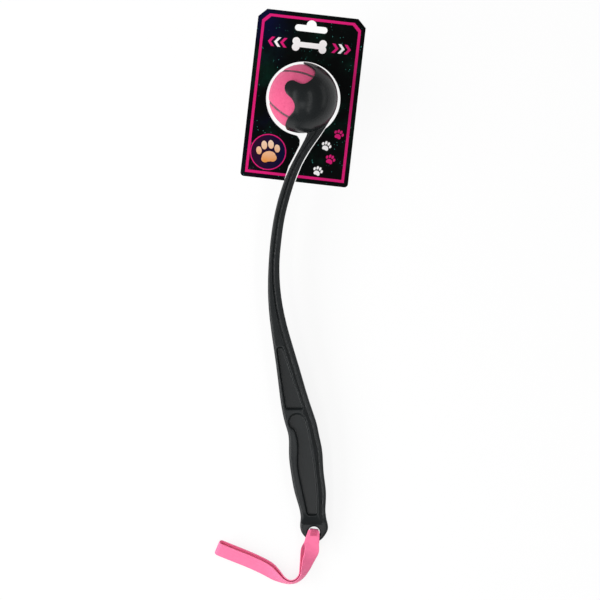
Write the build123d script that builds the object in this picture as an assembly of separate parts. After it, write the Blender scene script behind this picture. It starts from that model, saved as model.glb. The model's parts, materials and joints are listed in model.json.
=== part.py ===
from build123d import *
import math
import os

# A dog ball launcher that lies on its side, with a felt ball in its cup, a webbing wrist strap through
# the eye in its tail and its hang card round the cup. Lengths are in millimetres.
# Plan: the ball's centre is the origin, +X right, +Y up the card, +Z towards the viewer, mid plane z = 0.
# Outlines are tables of shares, chosen by hand, of the sizes named beside them.

os.makedirs("parts", exist_ok=True)

# Ball
ball_radius = 32.3
felt_thickness = 2.0
rubber_wall = 3.5
seam_width = 2.4
seam_sink = 0.5
seam_curl_share = 0.25
seam_turn = (75.0, 66.0, 57.0)

# Cup
cup_clearance = 0.3
cup_wall = 1.7
mouth_angle = 164.0
jaw_root = 3.5

# Arm and grip
reach = 430.0
bow_depth = 27.3
shaft_width = 10.5
shaft_thickness = 13.0
grip_width = 32.7
grip_thickness = 19.0
edge_round = 3.0
spine_share = 0.18
rail_width = 4.8
rail_drop = 0.7
rail_round = 1.5
shoulder_width = 4.8
shoulder_drop = 1.6
groove_width = 2.2
groove_depth = 2.0
upper_pocket_floor = 4.6
grip_pocket_floor = 5.2
pocket_corner = 2.6
pocket_reach = 59.7
grip_pocket_reach = 100.0

# Tail lobe and strap eye
lobe_width = 27.3
lobe_thickness = 10.0
lobe_round = 2.2
eye_radius = 5.8
eye_round = 0.6
eye_aside = 0.107
eye_past_grip = 8.36
heel_reach_share = 0.9256
heel_inset = 0.09

# Wrist strap
webbing_width = 14.6
webbing_thickness = 1.2
ply_gap = 0.3
strap_span = 92.0
eye_strip_width = 8.2
eye_lean = 2.6
rim_gap = 0.7
under_gap = 0.5
turn_radius = 2.0
lap_gap = 0.12
lap_start = -2.4
lap_end = 11.0
tack_length = 5.0
tack_count = 6
tack_share = 0.62
tack_lift = 0.04
thread_width = 0.45
full_bank = 90.0

# Hang card
card_width = 104.8
card_height = 163.6
card_thickness = 0.6
card_turn = -6.5
card_side = 1.1
card_up = 1.0
card_top_cut = 8.0
card_low_round = 3.5
window_radius = 36.0
window_side = 0.9
slot_gap = 0.3
slot_start_angle = -34.0
peg_width = 31.6
peg_height = 6.3
peg_drop = 14.7
peg_lobe_radius = 4.9
peg_lobe_lift = 3.4

overrun = 5.0

# The claw's edge seen from the side, as shares of the cup's outer radius, from the top tip downwards.
claw_edge_shares = (
    (0.035, 0.999),
    (0.244, 0.900),
    (0.364, 0.787),
    (0.341, 0.651),
    (0.244, 0.531),
    (0.000, 0.423),
    (-0.151, 0.477),
    (-0.318, 0.523),
    (-0.455, 0.440),
    (-0.500, 0.273),
    (-0.455, 0.151),
    (-0.332, 0.031),
    (-0.241, -0.105),
    (-0.219, -0.241),
    (-0.256, -0.364),
    (-0.378, -0.514),
    (-0.455, -0.651),
    (-0.480, -0.773),
    (-0.440, -0.898),
)

# Arm sections. Place along as a share of reach, centre sideways as a share of bow_depth, width as a share
# of shaft_width, thickness as a share of shaft_thickness, rail width as a share of rail_width, and how
# much of the shoulder there is.
arm_shares = (
    (0.0500, 0.690, 1.52, 0.90, 1.00, 0.12),
    (0.0847, 0.387, 1.24, 0.92, 0.98, 0.12),
    (0.1116, 0.130, 1.00, 0.96, 0.96, 0.12),
    (0.1474, -0.189, 0.92, 1.00, 0.96, 0.12),
    (0.1835, -0.433, 0.98, 1.00, 0.98, 0.12),
    (0.2240, -0.640, 1.02, 1.00, 1.00, 0.12),
    (0.2779, -0.837, 1.00, 1.00, 1.00, 0.12),
    (0.3500, -0.976, 1.00, 1.00, 1.02, 0.12),
    (0.4219, -1.000, 1.13, 1.03, 1.06, 0.14),
    (0.4937, -0.883, 1.43, 1.10, 1.08, 0.18),
)

# Grip sections, likewise, with width and thickness as shares of grip_width and grip_thickness.
grip_shares = (
    (0.5658, -0.650, 0.592, 0.82, 1.06, 0.25),
    (0.6377, -0.409, 0.745, 0.91, 0.97, 0.40),
    (0.6916, -0.224, 0.870, 0.97, 0.92, 0.70),
    (0.7277, -0.068, 0.930, 1.00, 0.86, 1.00),
    (0.7637, 0.066, 0.915, 1.00, 0.78, 1.00),
    (0.8177, 0.139, 0.995, 1.00, 0.70, 1.00),
    (0.8716, 0.246, 0.955, 1.00, 0.64, 1.00),
    (0.9077, 0.330, 0.845, 1.00, 0.60, 0.95),
    (0.9256, 0.363, 0.765, 0.99, 0.58, 0.70),
    (0.9437, 0.393, 0.755, 0.86, 0.56, 0.45),
    (0.9580, 0.410, 0.780, 0.54, 0.56, 0.25),
)

# The tail lobe's outline round the eye, as shares of lobe_width.
lobe_shares = (
    (-0.460, 0.640),
    (-0.478, 0.440),
    (-0.490, 0.180),
    (-0.430, -0.020),
    (-0.320, -0.160),
    (-0.060, -0.350),
    (0.235, -0.275),
    (0.418, -0.060),
    (0.500, 0.125),
    (0.460, 0.400),
    (0.430, 0.640),
)

# The upper pocket, in shares of pocket_reach down from its top, and of the width to its place.
upper_pocket_top_share = 0.5598
upper_pocket_left_shares = ((0.0, -0.350), (0.50, -0.367), (1.0, -0.374))
upper_pocket_right_shares = ((0.0, -0.03), (0.50, 0.121), (1.0, 0.243))

# The grip's pocket, likewise: how far down and how far across from the section's centre.
grip_pocket_top_share = 0.7074
grip_pocket_left_shares = (
    (0.06, -0.355),
    (0.13, -0.290),
    (0.23, -0.240),
    (0.34, -0.226),
    (0.48, -0.265),
    (0.67, -0.262),
    (0.82, -0.247),
    (0.99, -0.231),
)
grip_pocket_right_shares = (
    (0.06, 0.190),
    (0.13, 0.192),
    (0.23, 0.185),
    (0.34, 0.204),
    (0.48, 0.227),
    (0.67, 0.231),
    (0.82, 0.210),
    (0.99, 0.170),
)

# The strap's route from the eye, as shares of strap_span: sideways, up, bank as a share of full_bank, how
# far the plies stand apart as a share of their distance at the rim, lift as a share of under_gap, width.
strap_route_shares = (
    (0.000, 0.030, 0.00, 1.00, 1.0, 0.72),
    (-0.006, -0.015, 0.00, 1.00, 1.0, 0.82),
    (-0.015, -0.065, 0.00, 1.00, 1.0, 0.93),
    (-0.024, -0.115, 0.00, 1.00, 1.0, 0.98),
    (-0.036, -0.170, 0.14, 0.86, 1.0, 1.00),
    (-0.056, -0.235, 0.34, 0.44, 0.4, 1.00),
    (-0.076, -0.305, 0.47, 0.16, 0.0, 1.00),
    (-0.098, -0.380, 0.62, 0.05, 0.0, 1.00),
    (-0.132, -0.460, 0.82, 0.02, 0.0, 1.00),
    (-0.190, -0.513, 0.90, 0.02, 0.0, 1.00),
    (-0.258, -0.525, 0.90, 0.02, 0.0, 1.00),
    (-0.328, -0.500, 0.80, 0.06, 0.0, 1.00),
    (-0.400, -0.450, 0.60, 0.16, 0.0, 1.00),
    (-0.484, -0.386, 0.44, 0.27, 0.0, 1.00),
    (-0.590, -0.331, 0.40, 0.29, 0.0, 1.00),
    (-0.710, -0.278, 0.40, 0.31, 0.0, 1.00),
    (-0.830, -0.230, 0.40, 0.33, 0.0, 1.00),
    (-0.925, -0.192, 0.40, 0.33, 0.0, 1.00),
    (-0.985, -0.167, 0.40, 0.33, 0.0, 1.00),
)
strap_samples = 4
fold_samples = 8
slot_steps = 10

# The left side of the card's slot for the arm, as shares of window_radius.
slot_left_shares = (
    (-0.37, -0.90),
    (-0.13, -1.00),
    (-0.065, -1.11),
    (-0.075, -1.25),
    (-0.21, -1.52),
    (-0.37, -1.82),
    (-0.475, -2.15),
    (-0.50, -2.60),
)

core_radius = ball_radius - felt_thickness
cup_inner = ball_radius + cup_clearance
cup_outer = cup_inner + cup_wall
eye_side = grip_shares[-1][1] * bow_depth + eye_aside
eye_reach = grip_shares[-1][0] * reach + eye_past_grip
heel_reach = heel_reach_share * reach
mouth = Vector(math.cos(math.radians(mouth_angle)), math.sin(math.radians(mouth_angle)), 0)
heel_half = grip_thickness / 2 - heel_inset
tilt = math.degrees(
    math.asin(cup_outer / math.hypot(heel_reach, heel_half)) - math.atan2(heel_half, heel_reach)
)


def mirrored(solid):
    """The same shape on the other side of the mid plane."""
    return mirror(solid, about=Plane.XY)


def largest(shape):
    """The largest solid of a shape."""
    return max(shape.solids(), key=lambda s: s.volume)


def cone_face(points, inner, outer):
    """The face that rays from the centre through a closed curve sweep out between two radii."""
    near = Edge.make_spline([Vector(p) * inner for p in points], periodic=True)
    far = Edge.make_spline([Vector(p) * outer for p in points], periodic=True)
    return Face.make_surface_from_curves(near, far)


def ball_shell(inner, outer):
    """A hollow sphere about the ball's centre."""
    return Solid.make_sphere(outer, angle1=-90, angle2=90, angle3=360) - Solid.make_sphere(
        inner, angle1=-90, angle2=90, angle3=360
    )


def seam_point(turn, aside):
    """A unit place on the felt's seam line, moved aside over the sphere by a share of its radius."""
    a = 1 - seam_curl_share
    b = seam_curl_share

    def place(t):
        return Vector(
            a * math.cos(t) + b * math.cos(3 * t),
            a * math.sin(t) - b * math.sin(3 * t),
            2 * math.sqrt(a * b) * math.sin(2 * t),
        )

    here = place(turn)
    ahead = place(turn + math.radians(0.5))
    across = here.cross(ahead - here).normalized()
    moved = (here + across * aside).normalized()
    moved = moved.rotate(Axis.Z, seam_turn[2])
    moved = moved.rotate(Axis.Y, seam_turn[1])
    return moved.rotate(Axis.X, seam_turn[0])


def seam_line(aside):
    """The seam's places round the whole ball."""
    count = 48
    share = aside / ball_radius
    return [seam_point(2 * math.pi * i / count, share) for i in range(count)]


def make_ball():
    """The felt's two panels, the seam line between them and the two halves of the rubber core."""
    felt = ball_shell(core_radius, ball_radius)
    inner = core_radius - overrun
    outer = ball_radius + overrun
    one = cone_face(seam_line(seam_width / 2), inner, outer)
    two = cone_face(seam_line(-seam_width / 2), inner, outer)
    pieces = sorted(
        (s for part in split_all(felt, one) for s in split_all(part, two)), key=lambda s: -s.volume
    )
    panel_a, panel_b = pieces[0], pieces[1]
    seam = largest(pieces[2] - ball_shell(ball_radius - seam_sink, outer))
    core = ball_shell(core_radius - rubber_wall, core_radius)
    half_box = Box(
        2 * ball_radius, 2 * ball_radius, ball_radius, align=(Align.CENTER, Align.CENTER, Align.MIN)
    )
    upper = largest(core & half_box)
    lower = largest(core - half_box)
    return panel_a, panel_b, seam, upper, lower


def split_all(solid, tool):
    """Every piece of a solid that a face or plane divides."""
    found = solid.split(tool, keep=Keep.ALL)
    return [s for piece in found for s in piece.solids()]


def claw_line():
    """The claw's edge as unit places on the sphere: down its front and back up behind."""
    top = Vector(*claw_edge_shares[0], 0)
    tail = Vector(*claw_edge_shares[-1], 0)
    front = [Vector(x, y, math.sqrt(1 - x * x - y * y)) for x, y in claw_edge_shares[1:-1]]
    back = [Vector(p.X, p.Y, -p.Z) for p in reversed(front)]
    return [p.normalized() for p in [top, *front, tail, *back]]


def section_centre(row):
    """A section's centre sideways and its place along the launcher."""
    return row[1] * bow_depth, -row[0] * reach


def all_sections():
    """Every section: centre, place along, width, half thickness, rail width and shoulder share."""
    rows = []
    for row in arm_shares:
        x, y = section_centre(row)
        rows.append((x, y, row[2] * shaft_width, row[3] * shaft_thickness / 2, row[4] * rail_width, row[5]))
    for row in grip_shares:
        x, y = section_centre(row)
        rows.append((x, y, row[2] * grip_width, row[3] * grip_thickness / 2, row[4] * rail_width, row[5]))
    return rows


def section_at(y):
    """A section's centre, width and half thickness at any place along, between its neighbours."""
    rows = all_sections()
    for one, two in zip(rows, rows[1:]):
        if one[1] >= y >= two[1]:
            part = (one[1] - y) / (one[1] - two[1])
            return tuple(a + (b - a) * part for a, b in zip(one, two))
    return rows[0] if y > rows[0][1] else rows[-1]


def section_face(row):
    """One cross-section: rounded spine edge, flat face, shoulder, groove and the bead of the rail."""
    x, y, width, half, rail, shoulder = row
    left = x - width / 2
    right = x + width / 2
    lip = right - rail
    crest = lip - groove_width - shoulder * shoulder_width
    low = half - shoulder * shoulder_drop
    bead = half - rail_drop - shoulder * shoulder_drop
    curve = math.sqrt(0.5)
    spine = min(edge_round, half / 2, width * spine_share)
    points = [
        (left + spine, half),
        (crest, half),
        (lip - groove_width, low),
        (lip - groove_width / 2, low - groove_depth),
        (lip, bead),
        (right - rail_round, bead),
    ]
    with BuildSketch(Plane(origin=(0, y, 0), x_dir=(1, 0, 0), z_dir=(0, -1, 0))) as sketch:
        with BuildLine():
            Polyline(*[(px, -pz) for px, pz in points])
            ThreePointArc(
                (right - rail_round, -bead),
                (right - rail_round * (1 - curve), -bead + rail_round * (1 - curve)),
                (right, -bead + rail_round),
            )
            Line((right, -bead + rail_round), (right, bead - rail_round))
            ThreePointArc(
                (right, bead - rail_round),
                (right - rail_round * (1 - curve), bead - rail_round * (1 - curve)),
                (right - rail_round, bead),
            )
            Polyline(*[(px, pz) for px, pz in reversed(points)])
            ThreePointArc(
                (left + spine, half),
                (left + spine * (1 - curve), half - spine * (1 - curve)),
                (left, half - spine),
            )
            Line((left, half - spine), (left, spine - half))
            ThreePointArc(
                (left, spine - half),
                (left + spine * (1 - curve), spine * (1 - curve) - half),
                (left + spine, -half),
            )
        make_face()
    return sketch.sketch.faces()[0]


def pocket_cutter(top_share, depth, left_shares, right_shares, floor):
    """A recess in the launcher's upper face: its outline follows the section widths."""
    top = -top_share * reach
    sides = []
    for shares in (left_shares, tuple(reversed(right_shares))):
        for down, across in shares:
            y = top - down * depth
            x, _, width = section_at(y)[:3]
            sides.append((x + across * width, y))
    count = len(left_shares)
    left = sides[:count]
    right = sides[count:]
    with BuildSketch(Plane.XY.offset(floor)) as sketch:
        with BuildLine():
            Spline(*left)
            Line(left[-1], right[0])
            Spline(*right)
            Line(right[-1], left[0])
        make_face()
        fillet(sketch.vertices(), pocket_corner)
    return extrude(sketch.sketch, amount=grip_thickness)


def grip_pocket_cutter():
    """The long recess in the grip, with a round top end."""
    body = pocket_cutter(
        grip_pocket_top_share,
        grip_pocket_reach,
        grip_pocket_left_shares,
        grip_pocket_right_shares,
        grip_pocket_floor,
    )
    y = -grip_pocket_top_share * reach - grip_pocket_left_shares[0][0] * grip_pocket_reach
    x, _, width = section_at(y)[:3]
    radius = (grip_pocket_right_shares[0][1] - grip_pocket_left_shares[0][1]) * width / 2
    middle = x + (grip_pocket_right_shares[0][1] + grip_pocket_left_shares[0][1]) * width / 2
    cap = Pos(middle, y - pocket_corner, grip_pocket_floor) * Cylinder(
        radius, grip_thickness, align=(Align.CENTER, Align.CENTER, Align.MIN)
    )
    return body + cap


def lobe_solid():
    """The flat tail that carries the strap's eye."""
    with BuildSketch() as sketch:
        with BuildLine():
            points = [(eye_side + x * lobe_width, y * lobe_width - eye_reach) for x, y in lobe_shares]
            Spline(*points)
            Line(points[-1], points[0])
        make_face()
    slab = extrude(sketch.sketch, amount=lobe_thickness / 2, both=True)
    low = -eye_reach + lobe_shares[1][1] * lobe_width
    rims = [e for e in slab.edges() if abs(abs(e.center().Z) - lobe_thickness / 2) < lobe_round / 9]
    rims = [e for e in rims if e.center().Y < low + lobe_round]
    return fillet(rims, lobe_round)


def eye_cutter():
    """The strap's eye with its rounded mouth on both faces."""
    hole = Pos(eye_side, -eye_reach, 0) * Cylinder(eye_radius, grip_thickness)
    for side in (1, -1):
        flare = Cone(
            eye_radius + eye_round,
            eye_radius,
            eye_round,
            align=(Align.CENTER, Align.CENTER, Align.MIN),
        )
        turned = flare if side < 0 else Rot(180, 0, 0) * flare
        hole += Pos(eye_side, -eye_reach, side * lobe_thickness / 2) * turned
    return hole


def launcher_moulding():
    """Arm, grip, lobe and neck before the cup is added."""
    arm = loft([section_face(row) for row in all_sections()])
    arm += lobe_solid()
    upper = pocket_cutter(
        upper_pocket_top_share,
        pocket_reach,
        upper_pocket_left_shares,
        upper_pocket_right_shares,
        upper_pocket_floor,
    )
    lower = grip_pocket_cutter()
    for cutter in (upper, lower):
        arm -= cutter
        arm -= mirrored(cutter)
    return arm - eye_cutter()


def make_launcher():
    """The body with its rear cup, and the two regions of the claw that bend."""
    shell = ball_shell(cup_inner, cup_outer)
    edge = cone_face(claw_line(), cup_inner - overrun, cup_outer + overrun)
    cup = largest(Compound(children=split_all(shell, edge)))
    root = Plane(origin=mouth * jaw_root, z_dir=mouth)
    halves = split_all(cup, root)
    rear = min(halves, key=lambda s: s.center().dot(mouth))
    front = sorted((s for s in halves if s is not rear), key=lambda s: -s.center().Y)
    arm = launcher_moulding() - Solid.make_sphere(cup_inner, angle1=-90, angle2=90, angle3=360)
    body = largest(rear + largest(arm))
    return body, front


def strap_rows():
    """The strap's route made smooth: place, bank, spread, lift and width, in sizes."""
    table = strap_route_shares
    rows = []
    for i in range(len(table) - 1):
        before = table[max(i - 1, 0)]
        here = table[i]
        after = table[i + 1]
        beyond = table[min(i + 2, len(table) - 1)]
        for k in range(strap_samples):
            t = k / strap_samples
            rows.append(
                tuple(
                    0.5
                    * (
                        2 * b
                        + (c - a) * t
                        + (2 * a - 5 * b + 4 * c - d) * t * t
                        + (3 * b - a - 3 * c + d) * t * t * t
                    )
                    for a, b, c, d in zip(before, here, after, beyond)
                )
            )
    rows.append(table[-1])
    return rows


lobe_mid = cup_outer - eye_reach * math.sin(math.radians(tilt))
lobe_top = lobe_mid + lobe_thickness / 2
lap_low = lobe_top + rim_gap + webbing_thickness / 2
rim_top = lap_low + webbing_thickness + lap_gap
rim_low = under_gap + webbing_thickness / 2
rim_spread = (rim_top - rim_low) / 2
closed_spread = (webbing_thickness + ply_gap) / 2
eye_centre = Vector(eye_side, -eye_reach * math.cos(math.radians(tilt)), 0)


def strap_frames():
    """The pair of plies along the route: centre, way along, way across, upward normal, spread, width."""
    rows = strap_rows()
    flat = [eye_centre + Vector(r[0], r[1], 0) * strap_span for r in rows]
    frames = []
    for i, row in enumerate(rows):
        along = (flat[min(i + 1, len(flat) - 1)] - flat[max(i - 1, 0)]).normalized()
        level = Vector(0, 0, 1).cross(along)
        bank = math.radians(row[2] * full_bank)
        across = level * -math.cos(bank) + Vector(0, 0, 1) * math.sin(bank)
        normal = across.cross(along)
        if normal.Z < 0:
            normal = normal * -1
        spread = closed_spread + max(0.0, row[3]) * (rim_spread - closed_spread)
        width = row[5] * webbing_width
        height = (
            (spread + webbing_thickness / 2) * math.cos(bank)
            + width / 2 * math.sin(bank)
            + row[4] * under_gap
        )
        frames.append((flat[i] + Vector(0, 0, height), along, across, normal, spread, width))
    return frames


def ribbon_section(centre, across, outward, width):
    """One cross-section of the webbing, as a closed wire of four straight sides."""
    a = across * (width / 2)
    b = outward * (webbing_thickness / 2)
    corners = [centre + a + b, centre - a + b, centre - a - b, centre + a - b]
    return Wire.make_polygon(corners, close=True)


def distance_out(frame):
    """How far a frame is below the eye's centre, seen from above."""
    return eye_centre.Y - frame[0].Y


def strap_sections():
    """Sections of the whole strip: outer end on the rim, out, round the fold, back and through the eye."""
    frames = strap_frames()
    sections = []
    for frame in frames:
        centre, _, across, normal, spread, width = frame
        if distance_out(frame) >= lap_start:
            sections.append((centre + normal * spread, across, normal, width))
    centre, along, across, normal, spread, width = frames[-1]
    for i in range(1, fold_samples):
        turn = math.pi * i / fold_samples
        out = normal * math.cos(turn) + along * math.sin(turn)
        sections.append((centre + out * spread, across, out, width))
    for frame in reversed(frames):
        centre, _, across, normal, spread, width = frame
        if distance_out(frame) > turn_radius - eye_lean:
            sections.append((centre - normal * spread, across, normal * -1, width))
    return sections + eye_sections(frames)


def eye_sections(frames):
    """The strip's end: it turns up into the eye, over the rim and ends under the outer end."""
    _, along, across, _, _, _ = frames[0]
    along = Vector(along.X, along.Y, 0).normalized()
    up = Vector(0, 0, 1)
    top = lap_low
    foot = eye_centre + along * (turn_radius - eye_lean)
    width = eye_strip_width
    steps = 4
    sections = []
    for i in range(1, steps + 1):
        turn = math.pi / 2 * i / steps
        out = up * -math.cos(turn) - along * math.sin(turn)
        sections.append((foot + up * (rim_low + turn_radius) + out * turn_radius, across, out, width))
    for i in range(steps + 1):
        turn = math.pi / 2 * i / steps
        out = along * -math.cos(turn) + up * math.sin(turn)
        sections.append((foot + up * (top - turn_radius) + out * turn_radius, across, out, width))
    for frame in frames:
        far = distance_out(frame)
        if far > lap_end:
            break
        if far > turn_radius * 1.5 - eye_lean:
            centre, _, side, _, _, wide = frame
            place = Vector(centre.X, centre.Y, top)
            sections.append((place, side, up, min(wide, webbing_width)))
    return sections


def make_strap():
    """The wrist strap as one strip, its outer end lapped over its inner end on the rim."""
    wires = [ribbon_section(*section) for section in strap_sections()]
    return Solid.make_loft(wires, ruled=True)


def make_stitching():
    """The bar tack on the lap: a zigzag of short thread stitches that lie on the webbing."""
    frames = [f for f in strap_frames() if distance_out(f) >= lap_start]
    _, along, across, _, _, width = frames[0]
    along = Vector(along.X, along.Y, 0).normalized()
    start = eye_centre + along * (lap_start + thread_width)
    top = rim_top + webbing_thickness / 2 + tack_lift
    reach_across = width * tack_share / 2
    stitches = []
    for i in range(tack_count):
        down = tack_length * i / (tack_count - 1)
        slant = tack_length / (tack_count - 1) / 3
        centre = start + along * down
        side = across * reach_across
        one = centre - side - along * slant
        two = centre + side + along * slant
        way = (two - one).normalized()
        aside = Vector(0, 0, 1).cross(way) * (thread_width / 2)
        base = [one + aside, two + aside, two - aside, one - aside]
        wire = Wire.make_polygon([Vector(p.X, p.Y, top) for p in base], close=True)
        stitches.append(Solid.extrude(Face(wire), Vector(0, 0, thread_width)))
    return Compound(children=stitches)


def arm_edge(side, y):
    """The arm's left (-1) or right (+1) edge at a place along."""
    x, _, width = section_at(y)[:3]
    return x + side * (width / 2 + slot_gap)


def make_card():
    """The hang card: chamfered top, round window, open slot for the arm and peg slot."""
    half_width = card_width / 2
    half_height = card_height / 2
    outline = [
        (-half_width, -half_height),
        (half_width, -half_height),
        (half_width, half_height - card_top_cut),
        (half_width - card_top_cut, half_height),
        (card_top_cut - half_width, half_height),
        (-half_width, half_height - card_top_cut),
    ]
    sheet = Sketch() + make_face(Polyline(*outline, close=True))
    low = sheet.vertices().group_by(Axis.Y)[0]
    sheet = fillet(low, card_low_round)
    place = Pos(card_side, card_up) * Rot(0, 0, card_turn)
    sheet = place * sheet
    bar_up = half_height - peg_drop
    peg = place * (
        Pos(0, bar_up) * SlotOverall(peg_width, peg_height)
        + Pos(0, bar_up + peg_lobe_lift) * Circle(peg_lobe_radius)
    )
    left = [(x * window_radius, y * window_radius) for x, y in slot_left_shares]
    last = left[-1][1]
    first = -arm_shares[1][0] * reach
    steps = [first + (last - first) * i / slot_steps for i in range(slot_steps + 1)]
    right = [(arm_edge(1, y), y) for y in steps]
    turn = math.radians(slot_start_angle)
    start = (cup_outer * math.cos(turn) + slot_gap, cup_outer * math.sin(turn))
    slot = make_face(Polyline(*left, *reversed(right), start, (0, 0), close=True))
    hole = Pos(window_side, 0) * Circle(window_radius) + slot
    return extrude(sheet - hole - peg, amount=card_thickness)


def to_floor(shape):
    """Tips the launcher so that its cup and its heel both touch the floor."""
    return Pos(0, 0, cup_outer) * Rot(tilt, 0, 0) * shape


def build():
    """Every node by name, in its place with the origin under the middle of the whole."""
    body, (top_jaw, side_jaws) = make_launcher()
    panel_a, panel_b, seam, core_a, core_b = make_ball()
    nodes = {
        "launcher_body": to_floor(body),
        "claw_top_jaw": to_floor(top_jaw),
        "claw_side_jaws": to_floor(side_jaws),
        "felt_panel_a": to_floor(panel_a),
        "felt_panel_b": to_floor(panel_b),
        "ball_seam": to_floor(seam),
        "ball_core_half_a": to_floor(core_a),
        "ball_core_half_b": to_floor(core_b),
        "wrist_strap": make_strap(),
        "strap_stitching": make_stitching(),
        "backing_card": make_card(),
    }
    boxes = [shape.bounding_box() for shape in nodes.values()]
    middle_x = (min(b.min.X for b in boxes) + max(b.max.X for b in boxes)) / 2
    middle_y = (min(b.min.Y for b in boxes) + max(b.max.Y for b in boxes)) / 2
    lowest = min(b.min.Z for b in boxes)
    shift = Pos(-middle_x, -middle_y, -lowest)
    return {name: shift * shape for name, shape in nodes.items()}, Vector(-middle_x, -middle_y, -lowest)


nodes, plan_shift = build()
for name, shape in nodes.items():
    export_step(shape, f"parts/{name}.step")
print("tilt", round(tilt, 3), "shift", plan_shift)
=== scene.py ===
"""Looks of a dog ball launcher with its felt ball, wrist strap and hang card, lying on a pale floor."""

import json
import logging
import math
from collections.abc import Callable
from dataclasses import dataclass, field
from enum import Enum

import bmesh
import bpy
from mathutils import Matrix, Vector, kdtree, noise


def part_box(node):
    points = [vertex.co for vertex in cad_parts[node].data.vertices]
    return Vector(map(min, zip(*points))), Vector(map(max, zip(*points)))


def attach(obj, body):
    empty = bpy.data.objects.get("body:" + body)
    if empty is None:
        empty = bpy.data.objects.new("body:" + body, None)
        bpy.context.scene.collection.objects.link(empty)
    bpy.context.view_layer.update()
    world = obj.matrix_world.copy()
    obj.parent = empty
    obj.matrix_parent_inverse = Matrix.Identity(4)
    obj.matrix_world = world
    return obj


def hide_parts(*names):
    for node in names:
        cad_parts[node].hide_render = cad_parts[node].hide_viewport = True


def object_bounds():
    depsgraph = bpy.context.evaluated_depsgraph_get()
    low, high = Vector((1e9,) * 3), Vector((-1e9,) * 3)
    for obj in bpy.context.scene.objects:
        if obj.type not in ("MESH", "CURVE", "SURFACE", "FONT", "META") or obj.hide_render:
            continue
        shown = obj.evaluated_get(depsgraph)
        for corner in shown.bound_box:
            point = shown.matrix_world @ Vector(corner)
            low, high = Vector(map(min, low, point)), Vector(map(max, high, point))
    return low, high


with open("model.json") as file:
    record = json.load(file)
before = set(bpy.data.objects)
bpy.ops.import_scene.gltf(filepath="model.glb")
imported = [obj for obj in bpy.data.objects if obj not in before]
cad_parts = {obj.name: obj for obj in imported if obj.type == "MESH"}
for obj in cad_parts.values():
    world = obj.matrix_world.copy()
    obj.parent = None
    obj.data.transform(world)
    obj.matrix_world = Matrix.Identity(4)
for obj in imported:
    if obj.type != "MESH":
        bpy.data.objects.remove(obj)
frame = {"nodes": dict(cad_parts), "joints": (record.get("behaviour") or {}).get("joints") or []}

MM = 0.001
CAD_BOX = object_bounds()
LOG = logging.getLogger("launcher")
WHITE = (1.0, 1.0, 1.0, 1.0)
CHEVRON_SLOPE = 0.8

Colour = tuple[float, float, float]
Span = tuple[float, float]


class Slot(Enum):
    """The record's material slots."""

    PLASTIC = "moulded_plastic"
    FELT = "ball_felt"
    WEBBING = "strap_webbing"


class Body(Enum):
    """The bodies that new pieces ride on."""

    LAUNCHER = "launcher"
    BALL = "ball"
    STRAP = "strap"


def math_node(operation: str) -> Callable[..., "Wire"]:
    """Makes a method of Wire that adds one Math node.

    Args:
        operation: The node's operation.

    Returns:
        The method, from a wire and further inputs to the node's value.
    """

    def method(wire: "Wire", *others: "Wire | float") -> "Wire":
        """Adds the node on the wire."""
        return wire.graph.node("ShaderNodeMath", {"operation": operation}, dict(enumerate((wire, *others))))

    return method


@dataclass(frozen=True)
class Wire:
    """A shader value that is written like a number: each operator adds the Math node it stands for."""

    graph: "Graph"
    socket: bpy.types.NodeSocket

    __add__ = __radd__ = math_node("ADD")
    __sub__ = math_node("SUBTRACT")
    __mul__ = math_node("MULTIPLY")
    __truediv__ = math_node("DIVIDE")
    __pow__ = math_node("POWER")
    __abs__ = math_node("ABSOLUTE")
    sine = math_node("SINE")

    # On shapes given as distances to their edges, | joins two and & keeps what they share.
    __or__ = math_node("MINIMUM")
    __and__ = math_node("MAXIMUM")

    def __neg__(self) -> "Wire":
        """The value with the other sign."""
        return self * -1.0

    def __rsub__(self, other: float) -> "Wire":
        """The difference, with a number on the left."""
        return -self + other

    def within(self, low: float, high: float) -> "Wire":
        """How far the value has come from low to high, from 0 to 1 and smooth."""
        inputs = {"Value": self, "From Min": low, "From Max": high}
        return self.graph.node("ShaderNodeMapRange", {"interpolation_type": "SMOOTHSTEP"}, inputs)


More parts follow.
